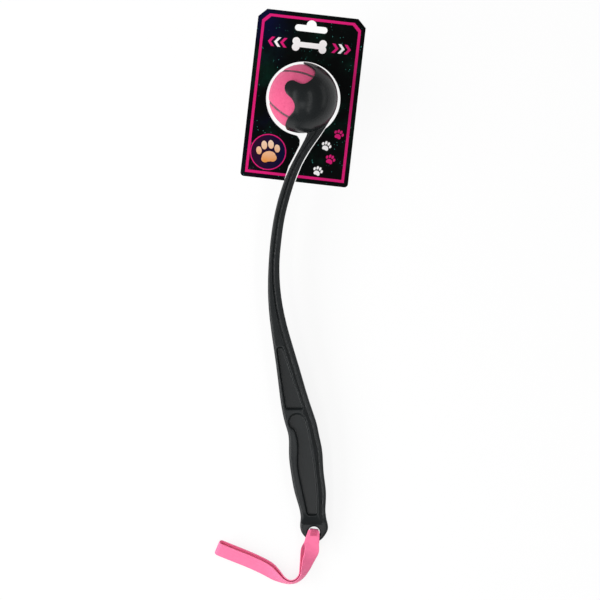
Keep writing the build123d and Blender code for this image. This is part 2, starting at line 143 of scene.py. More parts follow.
class Graph:
    """The nodes of a material or of the world, with a shader at their end."""

    def __init__(self, name: str, of_world: bool = False) -> None:
        """Makes an empty material or world.

        Args:
            name: Its name.
            of_world: Whether it is a world.
        """
        self.owner = (bpy.data.worlds if of_world else bpy.data.materials).new(name)
        self.owner.use_nodes = True
        self.tree = self.owner.node_tree
        self.tree.nodes.clear()
        kind = "ShaderNodeOutputWorld" if of_world else "ShaderNodeOutputMaterial"
        self.output = self.tree.nodes.new(kind)

    def node(
        self, kind: str, settings: dict[str, object], inputs: dict[int | str, object], out: int | str = 0
    ) -> Wire:
        """Adds one node.

        Args:
            kind: The node's type.
            settings: Its own settings.
            inputs: The values or wires of its sockets, by name or number.
            out: The output to return, by name or number.

        Returns:
            The output as a wire.
        """
        node = self.tree.nodes.new(kind)
        for key, value in settings.items():
            setattr(node, key, value)
        for key, value in inputs.items():
            if isinstance(value, Wire):
                self.tree.links.new(value.socket, node.inputs[key])
            else:
                node.inputs[key].default_value = value
        return Wire(self, node.outputs[out])

    def place(self) -> Wire:
        """The point on the piece, in metres."""
        return self.node("ShaderNodeTexCoord", {}, {}, "Object")

    def axes(self, vector: Wire) -> tuple[Wire, Wire, Wire]:
        """The X, Y and Z of a vector."""
        node = self.node("ShaderNodeSeparateXYZ", {}, {"Vector": vector}).socket.node
        return tuple(Wire(self, socket) for socket in node.outputs)

    def vector(self, x: Wire | float, y: Wire | float, z: Wire | float) -> Wire:
        """A vector of three numbers."""
        return self.node("ShaderNodeCombineXYZ", {}, {0: x, 1: y, 2: z})

    def noise(self, vector: Wire, scale: float, detail: float = 3.0, roughness: float = 0.5) -> Wire:
        """A cloudy value about 0.5, from clouds to the metre, finer layers and the strength of those."""
        inputs = {"Vector": vector, "Scale": scale, "Detail": detail, "Roughness": roughness}
        return self.node("ShaderNodeTexNoise", {}, inputs)

    def cells(self, vector: Wire, scale: float) -> Wire:
        """The distance to the nearest of many scattered points."""
        return self.node("ShaderNodeTexVoronoi", {}, {"Vector": vector, "Scale": scale}, "Distance")

    def blend(self, share: Wire | float, one: Wire | Colour, two: Wire | Colour) -> Wire:
        """A colour between two others, with a share of the second."""
        inputs = {0: share, 6: self._colour(one), 7: self._colour(two)}
        return self.node("ShaderNodeMix", {"data_type": "RGBA"}, inputs, 2)

    def _colour(self, colour: Wire | Colour) -> Wire | tuple[float, float, float, float]:
        """A colour in the form that a socket takes."""
        return colour if isinstance(colour, Wire) else (*colour, 1.0)

    def bump(self, height: Wire, distance: float, strength: float = 1.0, under: Wire | None = None) -> Wire:
        """A normal that is tipped by a height.

        Args:
            height: The height, from 0 to 1.
            distance: How far apart 0 and 1 lie, in metres.
            strength: How much of it shows.
            under: The normal that it lies on.

        Returns:
            The normal.
        """
        inputs = {"Height": height, "Distance": distance, "Strength": strength}
        if under is not None:
            inputs["Normal"] = under
        return self.node("ShaderNodeBump", {}, inputs)

    def principled(
        self, colour: Wire | Colour, roughness: Wire | float, normal: Wire | None = None, **fixed: object
    ) -> Wire:
        """Adds a Principled shader.

        Args:
            colour: The base colour.
            roughness: The roughness.
            normal: The normal, if it is bumped.
            fixed: Further sockets with one value all over, their names with _ for a space.

        Returns:
            The shader.
        """
        inputs = {"Base Color": self._colour(colour), "Roughness": roughness}
        if normal is not None:
            inputs["Normal"] = normal
        inputs.update({key.replace("_", " "): value for key, value in fixed.items()})
        return self.node("ShaderNodeBsdfPrincipled", {}, inputs)

    def end(self, shader: Wire) -> bpy.types.Material | bpy.types.World:
        """Ends the nodes in a shader and gives the material or the world."""
        self.tree.links.new(shader.socket, self.output.inputs["Surface"])
        return self.owner


def linked(name: str, data: bpy.types.ID) -> bpy.types.Object:
    """Puts a new object into the scene.

    Args:
        name: Its name.
        data: Its mesh, lamp or camera.

    Returns:
        The object.
    """
    thing = bpy.data.objects.new(name, data)
    bpy.context.scene.collection.objects.link(thing)
    return thing


def new_piece(
    name: str,
    bm: bmesh.types.BMesh,
    body: Body,
    slot: Slot,
    material: bpy.types.Material,
    *nodes: str,
) -> bpy.types.Object:
    """Makes a piece of a finished mesh, puts it on its body and hides the CAD nodes that it stands for.

    Args:
        name: The piece's name.
        bm: Its mesh, which is used up.
        body: The body it rides on.
        slot: The record's finish; not used.
        material: Its own finish.
        nodes: The CAD nodes that it stands for.

    Returns:
        The piece's object.
    """
    mesh = bpy.data.meshes.new(name)
    bm.to_mesh(mesh)
    bm.free()
    piece = linked(name, mesh)
    mesh.materials.append(material)
    mesh.shade_smooth()
    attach(piece, body.value)
    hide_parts(*nodes)
    LOG.info("%s: %d faces", name, len(mesh.polygons))
    return piece


def dress(node: str, material: bpy.types.Material) -> None:
    """Gives a CAD node another material.

    Args:
        node: The node's name.
        material: The material.
    """
    mesh = frame["nodes"][node].data
    mesh.materials.clear()
    mesh.materials.append(material)
    LOG.info("%s: dressed", node)


def apply_modifiers(piece: bpy.types.Object) -> None:
    """Turns a piece's modifiers into its mesh.

    Args:
        piece: The piece.
    """
    graph = bpy.context.evaluated_depsgraph_get()
    done = bpy.data.meshes.new_from_object(piece.evaluated_get(graph), depsgraph=graph)
    old = piece.data
    piece.modifiers.clear()
    piece.data = done
    bpy.data.meshes.remove(old)


@dataclass(frozen=True)
class Lie:
    """How the launcher lies: its ball's centre, its tilt on the floor and the way that the cup opens."""

    centre: Vector
    ball_radius: float
    tilt: float
    mouth: Vector

    @classmethod
    def from_frame(cls) -> "Lie":
        """Reads the lie off the ball's box and its joint.

        Returns:
            The lie.
        """
        boxes = [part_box(name) for name in ("felt_panel_a", "felt_panel_b")]
        low = Vector(min(box[0][i] for box in boxes) for i in range(3))
        high = Vector(max(box[1][i] for box in boxes) for i in range(3))
        axis = Vector(next(j["axis"] for j in frame["joints"] if j["name"] == "ball_release"))
        return cls((low + high) / 2, (high - low).z / 2, math.atan2(axis.z, axis.y), axis.normalized())


LIE = Lie.from_frame()


@dataclass(frozen=True)
class SatinPlastic:
    """Black polypropylene out of a finely etched mould."""

    base: Colour = (0.0062, 0.0082, 0.0090)
    dusty: Colour = (0.011, 0.0135, 0.0145)
    dust_span: Span = (0.52, 0.80)
    roughness: float = 0.26
    patch_scale: float = 26.0
    patch_swing: float = 0.16
    grain_scale: float = 2600.0
    grain_height: float = 0.006 * MM
    grain_swing: float = 0.10
    flow_scale: float = 90.0
    flow_height: float = 0.024 * MM
    flow_stretch: float = 3.0
    parting_half: float = 0.18 * MM
    parting_height: float = 0.12 * MM

    def material(self) -> bpy.types.Material:
        """Builds the finish: etched grain, faint flow marks, dust and the mould's parting line.

        Returns:
            The material.
        """
        g = Graph("satin_black_plastic")
        place = g.place()
        x, y, z = g.axes(place)
        patches = g.noise(place, self.patch_scale, detail=4.0)
        grain = g.noise(place, self.grain_scale, detail=2.0)
        stretched = g.vector(x * self.flow_stretch, y, z * self.flow_stretch)
        flow = g.noise(stretched, self.flow_scale, detail=2.0)
        slope = math.tan(LIE.tilt)
        height = (z - LIE.centre.z) - (y - LIE.centre.y) * slope
        parting = 1.0 - abs(height).within(0.0, self.parting_half)
        rough = self.roughness + (patches - 0.5) * self.patch_swing + (grain - 0.5) * self.grain_swing
        colour = g.blend(patches.within(*self.dust_span), self.base, self.dusty)
        normal = g.bump(grain, self.grain_height)
        normal = g.bump(flow, self.flow_height, strength=0.35, under=normal)
        normal = g.bump(parting, self.parting_height, strength=0.6, under=normal)
        return g.end(g.principled(colour, rough, normal, Specular_IOR_Level=0.25))


@dataclass
class LauncherMoulding:
    """The launcher: cup, claw, neck, arm and grip as the one moulding that they are."""

    nodes: tuple[str, ...] = ("launcher_body", "claw_top_jaw", "claw_side_jaws")
    jaw_root: float = 3.5 * MM
    merge: float = 0.004 * MM
    flat_play: float = 0.008 * MM
    last_merge: float = 0.012 * MM
    voxel: float = 0.45 * MM
    smoothings: int = 3
    grip_smoothings: int = 11
    grip_start: float = 215.0 * MM
    most_triangles: int = 186000
    finish: SatinPlastic = field(default_factory=SatinPlastic)

    def joined(self) -> bmesh.types.BMesh:
        """Brings the moulding's regions together and takes away the faces where they meet.

        Returns:
            The mesh.
        """
        bm = bmesh.new()
        for name in self.nodes:
            bm.from_mesh(frame["nodes"][name].data)
        bmesh.ops.remove_doubles(bm, verts=bm.verts, dist=self.merge)
        root = LIE.centre + LIE.mouth * self.jaw_root
        flat = [
            f for f in bm.faces
            if all(abs((v.co - root).dot(LIE.mouth)) < self.flat_play for v in f.verts)
        ]
        bmesh.ops.delete(bm, geom=flat, context="FACES_ONLY")
        bmesh.ops.remove_doubles(bm, verts=bm.verts, dist=self.last_merge)
        return bm

    def soften(self, bm: bmesh.types.BMesh, verts: list[bmesh.types.BMVert], times: int) -> None:
        """Draws vertices towards their neighbours' middle, which rounds the edges.

        Args:
            bm: The moulding's mesh.
            verts: The vertices to move.
            times: How often.
        """
        axes = {"use_axis_x": True, "use_axis_y": True, "use_axis_z": True}
        for _ in range(times):
            bmesh.ops.smooth_vert(bm, verts=verts, factor=0.5, **axes)

    def build(self) -> None:
        """Makes the seamless moulding with softly rounded edges."""
        material = self.finish.material()
        piece = new_piece(
            "launcher_moulding", self.joined(), Body.LAUNCHER, Slot.PLASTIC, material, *self.nodes
        )
        remesh = piece.modifiers.new("remesh", "REMESH")
        remesh.mode = "VOXEL"
        remesh.voxel_size = self.voxel
        apply_modifiers(piece)
        bm = bmesh.new()
        bm.from_mesh(piece.data)
        self.soften(bm, bm.verts, self.smoothings)
        grip = [v for v in bm.verts if LIE.centre.y - v.co.y > self.grip_start]
        self.soften(bm, grip, self.grip_smoothings)
        bmesh.ops.triangulate(bm, faces=bm.faces)
        count = len(bm.faces)
        bm.to_mesh(piece.data)
        bm.free()
        if count > self.most_triangles:
            thin = piece.modifiers.new("thin", "DECIMATE")
            thin.ratio = self.most_triangles / count
            apply_modifiers(piece)
        piece.data.shade_smooth()
        LOG.info("launcher_moulding: %d triangles of %d kept", len(piece.data.polygons), count)


@dataclass(frozen=True)
class NeedleFelt:
    """Pink needle felt: matted fibres with a soft sheen."""

    base: Colour = (0.70, 0.098, 0.222)
    deep: Colour = (0.48, 0.046, 0.124)
    pale: Colour = (0.86, 0.230, 0.365)
    shade_span: Span = (0.30, 0.50)
    light_span: Span = (0.52, 0.72)
    roughness: float = 0.95
    fibre_scale: float = 1500.0
    fibre_height: float = 0.35 * MM
    fibre_drift: float = 2.0 * MM
    strand_scale: float = 750.0
    strand_stretch: float = 5.0
    clump_scale: float = 420.0

    def material(self) -> bpy.types.Material:
        """Builds the finish: fine fibres over matted clumps.

        Returns:
            The material.
        """
        g = Graph("pink_needle_felt")
        place = g.place()
        x, y, z = g.axes(place)
        clumps = g.noise(place, self.clump_scale, detail=4.0, roughness=0.6)
        drifted = g.vector(x + clumps * self.fibre_drift, y, z)
        fibres = g.noise(drifted, self.fibre_scale, roughness=0.7)
        stretched = g.vector(x * self.strand_stretch, y, z)
        strands = g.noise(stretched, self.strand_scale, detail=2.0, roughness=0.7)
        mass = fibres * 0.5 + strands * 0.25 + clumps * 0.25
        colour = g.blend(mass.within(*self.shade_span), self.deep, self.base)
        colour = g.blend(mass.within(*self.light_span), colour, self.pale)
        normal = g.bump(mass, self.fibre_height, strength=0.9)
        sheen = {"Sheen_Weight": 0.35, "Sheen_Roughness": 0.5, "Sheen_Tint": (1.0, 0.55, 0.7, 1.0)}
        return g.end(g.principled(colour, self.roughness, normal, Specular_IOR_Level=0.15, **sheen))


@dataclass(frozen=True)
class Rubber:
    """Rubber with lint or a chalky bloom on it, in clouds of another colour."""

    name: str
    base: Colour
    bloom: Colour
    bloom_span: Span
    cloud_scale: float
    cloud_detail: float
    cloud_roughness: float
    cloud_height: float
    bump_strength: float
    roughness: float
    gloss: float

    def material(self) -> bpy.types.Material:
        """Builds the finish.

        Returns:
            The material.
        """
        g = Graph(self.name)
        cloud = g.noise(g.place(), self.cloud_scale, self.cloud_detail, self.cloud_roughness)
        colour = g.blend(cloud.within(*self.bloom_span), self.base, self.bloom)
        normal = g.bump(cloud, self.cloud_height, self.bump_strength)
        return g.end(g.principled(colour, self.roughness, normal, Specular_IOR_Level=self.gloss))


SEAM_RUBBER = Rubber(
    "seam_rubber", base=(0.090, 0.058, 0.068), bloom=(0.40, 0.15, 0.21), bloom_span=(0.45, 0.75),
    cloud_scale=700.0, cloud_detail=3.0, cloud_roughness=0.7, cloud_height=0.1 * MM,
    bump_strength=0.6, roughness=0.75, gloss=0.3,
)
CORE_RUBBER = Rubber(
    "core_rubber", base=(0.03, 0.03, 0.03), bloom=(0.07, 0.068, 0.066), bloom_span=(0.4, 0.7),
    cloud_scale=160.0, cloud_detail=5.0, cloud_roughness=0.5, cloud_height=0.2 * MM,
    bump_strength=0.4, roughness=0.7, gloss=0.5,
)


@dataclass
class FeltBall:
    """The ball: two felt panels that close over a core, with a rubber seam between them."""

    curl_share: float = 0.25
    turn: tuple[float, float, float] = (75.0, 66.0, 57.0)
    seam_width: float = 2.8 * MM
    felt_thickness: float = 1.9 * MM
    edge_round: float = 0.9 * MM
    edge_drop: float = 0.495 * MM
    fine_band: float = 2.2 * MM
    snap_parts: int = 6
    kept_share: float = 0.98
    sphere_levels: int = 7
    matting: float = 0.10 * MM
    matting_scale: float = 260.0
    fine_matting_scale: float = 1040.0
    samples: int = 1440
    finish: NeedleFelt = field(default_factory=NeedleFelt)

    def seam_place(self, t: float) -> Vector:
        """A place on the seam line.

        Args:
            t: How far round the seam, in radians.

        Returns:
            The place as a direction from the ball's centre.
        """
        a, b = 1 - self.curl_share, self.curl_share
        place = Vector((
            a * math.cos(t) + b * math.cos(3 * t),
            a * math.sin(t) - b * math.sin(3 * t),
            2 * math.sqrt(a * b) * math.sin(2 * t),
        ))
        for axis, degrees in zip("ZYX", reversed(self.turn)):
            place = Matrix.Rotation(math.radians(degrees), 3, axis) @ place
        return Matrix.Rotation(LIE.tilt, 3, "X") @ place.normalized()

    def seam_tree(self) -> tuple[kdtree.KDTree, list[Vector]]:
        """Makes the seam's places ready to be searched.

        Returns:
            The search tree, and the way across the seam at each place.
        """
        places = [self.seam_place(2 * math.pi * i / self.samples) for i in range(self.samples)]
        ahead = places[1:] + places[:1]
        across = [p.cross((q - p).normalized()) for p, q in zip(places, ahead)]
        tree = kdtree.KDTree(self.samples)
        for i, place in enumerate(places):
            tree.insert(place, i)
        tree.balance()
        return tree, across

    def panels(self) -> list[bmesh.types.BMesh]:
        """Cuts a sphere along the seam into its two felt panels.

        Returns:
            The two panels as closed meshes, in place.
        """
        tree, across = self.seam_tree()
        radius = LIE.ball_radius

        def from_seam(direction: Vector) -> float:
            """The signed distance from the seam's middle, in metres."""
            place, i, _ = tree.find(direction)
            away = (direction - place).length * radius
            return math.copysign(away, (direction - place).dot(across[i]))

        bm = bmesh.new()
        bmesh.ops.create_icosphere(bm, subdivisions=self.sphere_levels, radius=1.0)
        near = [
            e for e in bm.edges
            if min(abs(from_seam(v.co.normalized())) for v in e.verts) < self.fine_band
        ]
        bmesh.ops.subdivide_edges(bm, edges=near, cuts=1, use_grid_fill=True)
        for vert in bm.verts:
            vert.co.normalize()
        side_of = {v: from_seam(v.co) for v in bm.verts}
        half = self.seam_width / 2
        step = self.fine_band / self.snap_parts
        for vert, away in side_of.items():
            short = half - abs(away)
            if abs(short) < step:
                _, i, _ = tree.find(vert.co)
                vert.co = (vert.co + across[i] * math.copysign(short, away) / radius).normalized()
                side_of[vert] = math.copysign(half, away)
        made = []
        for side in (1, -1):
            panel = bm.copy()
            panel.verts.ensure_lookup_table()
            away = [side_of[v] * side for v in bm.verts]
            gone = [v for v, a in zip(panel.verts, away) if a < half * self.kept_share]
            self.raise_felt(panel, away, half)
            bmesh.ops.delete(panel, geom=gone, context="VERTS")
            self.close_inside(panel)
            made.append(panel)
        bm.free()
        return made

    def close_inside(self, panel: bmesh.types.BMesh) -> None:
        """Gives a panel its back and its edge, so that it is a closed piece of felt.

        Args:
            panel: The panel's outer skin.
        """
        loose = [v for v in panel.verts if not v.link_faces]
        bmesh.ops.delete(panel, geom=loose, context="VERTS")
        outer = panel.faces[:]
        back = bmesh.ops.duplicate(panel, geom=outer)["geom"]
        skin = [f for f in back if isinstance(f, bmesh.types.BMFace)]
        inner = LIE.ball_radius - self.felt_thickness
        for vert in (v for v in back if isinstance(v, bmesh.types.BMVert)):
            vert.co = LIE.centre + (vert.co - LIE.centre).normalized() * inner
        bmesh.ops.reverse_faces(panel, faces=skin)
        rims = [e for e in panel.edges if e.is_boundary]
        bmesh.ops.bridge_loops(panel, edges=rims)

    def raise_felt(self, panel: bmesh.types.BMesh, away: list[float], half: float) -> None:
        """Puts a panel's vertices at the ball's surface, matted, and rounds its edge down to the seam.

        Args:
            panel: The panel, on the unit sphere.
            away: Each vertex's distance from the seam's middle.
            half: The distance at which the felt begins.
        """
        for vert, distance in zip(panel.verts, away):
            share = min(1.0, max(0.0, (distance - half) / self.edge_round))
            drop = self.edge_drop * (1 - math.sqrt(1 - (1 - share) ** 2))
            direction = vert.co.normalized()
            mat = noise.noise(direction * LIE.ball_radius * self.fine_matting_scale)
            mat += noise.noise(direction * LIE.ball_radius * self.matting_scale)
            radius = LIE.ball_radius - self.matting - drop + mat * self.matting
            vert.co = LIE.centre + direction * min(radius, LIE.ball_radius)

    def build(self) -> None:
        """Makes the panels and dresses the seam and the core."""
        felt = self.finish.material()
        for letter, panel in zip("ab", self.panels()):
            name = f"felt_panel_{letter}"
            new_piece(f"felt_cover_{letter}", panel, Body.BALL, Slot.FELT, felt, name)
        dress("ball_seam", SEAM_RUBBER.material())
        core = CORE_RUBBER.material()
        for letter in "ab":
            dress(f"ball_core_half_{letter}", core)


@dataclass(frozen=True)
class PinkWebbing:
    """Flat woven polyester webbing, dyed pink."""

    base: Colour = (0.93, 0.165, 0.34)
    # deep and pale, set by shade_span and light_span, are painted shade in the weave's hollows and a painted
    # highlight on the yarn crests, mixed with the lint's random tone.
    deep: Colour = (0.70, 0.075, 0.20)
    pale: Colour = (1.0, 0.30, 0.47)
    shade_span: Span = (0.20, 0.55)
    light_span: Span = (0.70, 1.0)
    roughness: float = 0.72
    rib_pitch: float = 1.1 * MM
    yarn_pitch: float = 0.7 * MM
    lint_scale: float = 2600.0
    weave_height: float = 0.22 * MM

    def material(self) -> bpy.types.Material:
        """Builds the finish: a plain weave that follows the strip.

        Returns:
            The material.
        """
        g = Graph("pink_webbing")
        u, v, _ = g.axes(g.node("ShaderNodeUVMap", {"uv_map": "strip"}, {}))
        across = (u * (math.pi / self.yarn_pitch)).sine()
        along = (v * (math.pi / self.rib_pitch)).sine()
        weave = abs(across) * 0.5 + abs(along) * 0.5
        lint = g.noise(g.vector(u, v, 0.0), self.lint_scale, roughness=0.7)
        # The weave part of mass paints the hollows between the yarns darker as shade and the crests lighter
        # as highlight. The lint part gives random tone.
        mass = weave * 0.75 + lint * 0.35
        colour = g.blend(mass.within(*self.shade_span), self.deep, self.base)
        colour = g.blend(mass.within(*self.light_span), colour, self.pale)
        normal = g.bump(mass, self.weave_height, strength=0.8)
        sheen = {"Sheen_Weight": 0.2, "Sheen_Roughness": 0.4, "Sheen_Tint": (1.0, 0.6, 0.75, 1.0)}
        return g.end(g.principled(colour, self.roughness, normal, Specular_IOR_Level=0.3, **sheen))


@dataclass(frozen=True)
class Station:
    """One place along the webbing: its middle, the ways across and out of the loop, and its width."""

    middle: Vector
    across: Vector
    outward: Vector
    width: float

    def towards(self, other: "Station", share: float) -> "Station":
        """The place between this one and another."""
        return Station(
            self.middle.lerp(other.middle, share),
            self.across.lerp(other.across, share).normalized(),
            self.outward.lerp(other.outward, share).normalized(),
            self.width + (other.width - self.width) * share,
        )


@dataclass(frozen=True)
class PlyPair:
    """The two plies at one place of the route: half spread is how far each is from their middle."""

    middle: Vector
    along: Vector
    across: Vector
    upward: Vector
    half_spread: float
    width: float

    def ply(self, side: int) -> Station:
        """The place on the upper ply, side 1, or on the lower one, side -1."""
        out = self.upward * side
        return Station(self.middle + out * self.half_spread, self.across, out, self.width)


@dataclass
class WristStrap:
    """The wrist strap: one strip of webbing through the eye, its ends lapped on the rim and tacked."""

    width: float = 14.6 * MM
    thickness: float = 1.2 * MM
    ply_gap: float = 0.3 * MM
    span: float = 92.0 * MM
    eye_strip_width: float = 8.2 * MM
    eye_lean: float = 2.6 * MM
    rim_gap: float = 0.7 * MM
    under_gap: float = 0.5 * MM
    turn_radius: float = 2.0 * MM
    clear_share: float = 1.5
    lap_gap: float = 0.12 * MM
    lap_start: float = -2.4 * MM
    lap_end: float = 11.0 * MM
    lobe_thickness: float = 10.0 * MM
    full_bank: float = math.radians(90.0)
    samples: int = 4
    fold_samples: int = 8
    turn_samples: int = 4
    step: float = 0.36 * MM
    ring: int = 44
    rib_height: float = 0.07 * MM
    merge: float = 0.002 * MM
    side_power: float = 0.55
    face_power: float = 0.22
    finish: PinkWebbing = field(default_factory=PinkWebbing)

    # Sideways and up as shares of span, bank as a share of full_bank, how far the plies stand apart as a
    # share of their distance at the rim, lift as a share of under_gap, and width as a share of width.
    route_shares: tuple[tuple[float, ...], ...] = (
        (0.000, 0.030, 0.00, 1.00, 1.0, 0.72),
        (-0.006, -0.015, 0.00, 1.00, 1.0, 0.82),
        (-0.015, -0.065, 0.00, 1.00, 1.0, 0.93),
        (-0.024, -0.115, 0.00, 1.00, 1.0, 0.98),
        (-0.036, -0.170, 0.14, 0.86, 1.0, 1.00),
        (-0.056, -0.235, 0.34, 0.44, 0.4, 1.00),
        (-0.076, -0.305, 0.47, 0.16, 0.0, 1.00),
        (-0.098, -0.380, 0.62, 0.05, 0.0, 1.00),
        (-0.132, -0.460, 0.82, 0.02, 0.0, 1.00),
        (-0.190, -0.513, 0.90, 0.02, 0.0, 1.00),
        (-0.258, -0.525, 0.90, 0.02, 0.0, 1.00),
        (-0.328, -0.500, 0.80, 0.06, 0.0, 1.00),
        (-0.400, -0.450, 0.60, 0.16, 0.0, 1.00),
        (-0.484, -0.386, 0.44, 0.27, 0.0, 1.00),
        (-0.590, -0.331, 0.40, 0.29, 0.0, 1.00),
        (-0.710, -0.278, 0.40, 0.31, 0.0, 1.00),
        (-0.830, -0.230, 0.40, 0.33, 0.0, 1.00),
        (-0.925, -0.192, 0.40, 0.33, 0.0, 1.00),
        (-0.985, -0.167, 0.40, 0.33, 0.0, 1.00),
    )

    def __post_init__(self) -> None:
        """Reads the eye's place off the strap's joint and works out the heights at the rim."""
        joint = next(j for j in frame["joints"] if j["name"] == "strap_swing")
        pivot = Vector(joint["pos_m"])
        floor = CAD_BOX[0].z
        self.eye = Vector((pivot.x, pivot.y, floor))
        lobe_top = pivot.z - floor + self.lobe_thickness / 2
        self.lap_low = lobe_top + self.rim_gap + self.thickness / 2
        self.rim_top = self.lap_low + self.thickness + self.lap_gap
        self.rim_low = self.under_gap + self.thickness / 2

    def rows(self) -> list[tuple[float, ...]]:
        """Puts smooth rows between the route's rows.

        Returns:
            All the rows.
        """
        table = self.route_shares
        rows = []
        for i in range(len(table) - 1):
            four = (table[max(i - 1, 0)], table[i], table[i + 1], table[min(i + 2, len(table) - 1)])
            for k in range(self.samples):
                rows.append(tuple(smooth(k / self.samples, *values) for values in zip(*four)))
        rows.append(table[-1])
        return rows

    def pairs(self) -> list[PlyPair]:
        """Lays two plies along the route.

        Returns:
            The pairs, from the eye to the fold.
        """
        rows = self.rows()
        flat = [self.eye + Vector((side, up, 0)) * self.span for side, up, *_ in rows]
        closed = (self.thickness + self.ply_gap) / 2
        open_spread = (self.rim_top - self.rim_low) / 2
        up = Vector((0, 0, 1))
        pairs = []
        for i, (_, _, bank_share, open_share, lift, wide) in enumerate(rows):
            along = (flat[min(i + 1, len(flat) - 1)] - flat[max(i - 1, 0)]).normalized()
            bank = bank_share * self.full_bank
            across = up.cross(along) * -math.cos(bank) + up * math.sin(bank)
            normal = across.cross(along)
            if normal.z < 0:
                normal.negate()
            spread = closed + max(0.0, open_share) * (open_spread - closed)
            width = wide * self.width
            height = (spread + self.thickness / 2) * math.cos(bank) + width / 2 * math.sin(bank)
            middle = flat[i] + up * (height + lift * self.under_gap)
            pairs.append(PlyPair(middle, along, across, normal, spread, width))
        return pairs

    def from_eye(self, place: Vector) -> float:
        """How far a place is below the eye's centre, seen from above."""
        return self.eye.y - place.y

    def stations(self) -> list[Station]:
        """Follows the whole strip: outer end on the rim, out, round the fold, back and through the eye.

        Returns:
            The stations.
        """
        pairs = self.pairs()
        found = [p.ply(1) for p in pairs if self.from_eye(p.middle) >= self.lap_start]
        last = pairs[-1]
        for i in range(1, self.fold_samples):
            turn = math.pi * i / self.fold_samples
            out = last.upward * math.cos(turn) + last.along * math.sin(turn)
            found.append(Station(last.middle + out * last.half_spread, last.across, out, last.width))
        inner = self.turn_radius - self.eye_lean
        found += [p.ply(-1) for p in reversed(pairs) if self.from_eye(p.middle) > inner]
        return found + self.through_eye(pairs)

    def through_eye(self, pairs: list[PlyPair]) -> list[Station]:
        """The strip's end: up through the eye, over its rim and under the outer end.

        Args:
            pairs: The plies along the route.

        Returns:
            The stations.
        """
        first = pairs[0]
        along = Vector((first.along.x, first.along.y, 0)).normalized()
        up = Vector((0, 0, 1))
        foot = self.eye + along * (self.turn_radius - self.eye_lean)
        low, high = self.rim_low + self.turn_radius, self.lap_low - self.turn_radius
        found = []
        for start, end, height, skipped in ((-up, -along, low, 1), (-along, up, high, 0)):
            for i in range(skipped, self.turn_samples + 1):
                turn = math.pi / 2 * i / self.turn_samples
                out = start * math.cos(turn) + end * math.sin(turn)
                middle = foot + up * height + out * self.turn_radius
                found.append(Station(middle, first.across, out, self.eye_strip_width))
        for pair in pairs:
            below = self.from_eye(pair.middle)
            if below > self.lap_end:
                break
            if below > self.turn_radius * self.clear_share - self.eye_lean:
                place = Vector((pair.middle.x, pair.middle.y, self.eye.z + self.lap_low))
                found.append(Station(place, pair.across, up, min(pair.width, self.width)))
        return found

    def build(self) -> None:
        """Rolls a fine grid into a flat woven tube and lays it along the route."""
        stations = self.stations()
        lengths = [0.0]
        for one, two in zip(stations, stations[1:]):
            lengths.append(lengths[-1] + (two.middle - one.middle).length)
        total = lengths[-1]
        count = int(total / self.step)
        bm = bmesh.new()
        layer = bm.loops.layers.uv.new("strip")
        bmesh.ops.create_grid(bm, x_segments=self.ring, y_segments=count, size=0.5)
        for vert in bm.verts:
            vert.co.x += 0.5
            vert.co.y = (vert.co.y + 0.5) * total
        for face in bm.faces:
            for loop in face.loops:
                loop[layer].uv = self.strip_uv(loop.vert.co.x, loop.vert.co.y)
        for vert in bm.verts:
            vert.co = self.on_strip(vert.co.x, vert.co.y, stations, lengths)
        bmesh.ops.remove_doubles(bm, verts=bm.verts, dist=self.merge)
        ends = [e for e in bm.edges if e.is_boundary]
        bmesh.ops.holes_fill(bm, edges=ends)
        bmesh.ops.recalc_face_normals(bm, faces=bm.faces)
        strap = new_piece(
            "webbing_strap", bm, Body.STRAP, Slot.WEBBING, self.finish.material(), "wrist_strap"
        )
        LOG.info("webbing_strap: %.1f mm long", total / MM)

    def profile(self, turn: float) -> tuple[float, float]:
        """A place on the rounded section, as shares of half its width and thickness, at a turn of 0 to 1."""
        c, s = math.cos(2 * math.pi * turn), math.sin(2 * math.pi * turn)
        return math.copysign(abs(c) ** self.side_power, c), math.copysign(abs(s) ** self.face_power, s)

    def strip_uv(self, turn: float, along: float) -> tuple[float, float]:
        """The place on the strip in metres: across, with the back beside the front, and along."""
        return self.profile(turn)[0] * self.width / 2, along

    def on_strip(self, turn: float, along: float, stations: list[Station], lengths: list[float]) -> Vector:
        """Where a point of the rolled grid lies.

        Args:
            turn: How far round the section, from 0 to 1.
            along: How far along the strip, in metres.
            stations: The places along the strip.
            lengths: How far along each of them is.

        Returns:
            The point.
        """
        i = 0
        while i < len(lengths) - 2 and lengths[i + 1] < along:
            i += 1
        share = (along - lengths[i]) / (lengths[i + 1] - lengths[i])
        here = stations[i].towards(stations[i + 1], min(1.0, max(0.0, share)))
        side, height = self.profile(turn)
        rib = abs(math.sin(math.pi * along / self.finish.rib_pitch))
        thick = self.thickness / 2 - self.rib_height * (1 - rib)
        return here.middle + here.across * side * here.width / 2 + here.outward * height * thick


def smooth(t: float, a: float, b: float, c: float, d: float) -> float:
    """A value between b and c on the smooth curve through four values in a row."""
    bend = (2 * a - 5 * b + 4 * c - d) * t + (3 * b - a - 3 * c + d) * t * t
    return 0.5 * (2 * b + (c - a + bend) * t)


@dataclass(frozen=True)
class PinkThread:
    """Bonded pink sewing thread."""

    base: Colour = (0.62, 0.075, 0.19)
    deep: Colour = (0.36, 0.03, 0.09)
    twist_span: Span = (-0.6, 0.6)
    twist_scale: float = 9000.0
    twist_slope: float = 1.6
    twist_height: float = 0.04 * MM
    roughness: float = 0.6

    def material(self) -> bpy.types.Material:
        """Builds the finish: twisted plies in shade and light.

        Returns:
            The material.
        """
        g = Graph("pink_thread")
        x, y, z = g.axes(g.place())
        twist = ((x + y * self.twist_slope + z) * self.twist_scale).sine()
        colour = g.blend(twist.within(*self.twist_span), self.deep, self.base)
        normal = g.bump(twist, self.twist_height, strength=0.6)
        return g.end(g.principled(colour, self.roughness, normal))


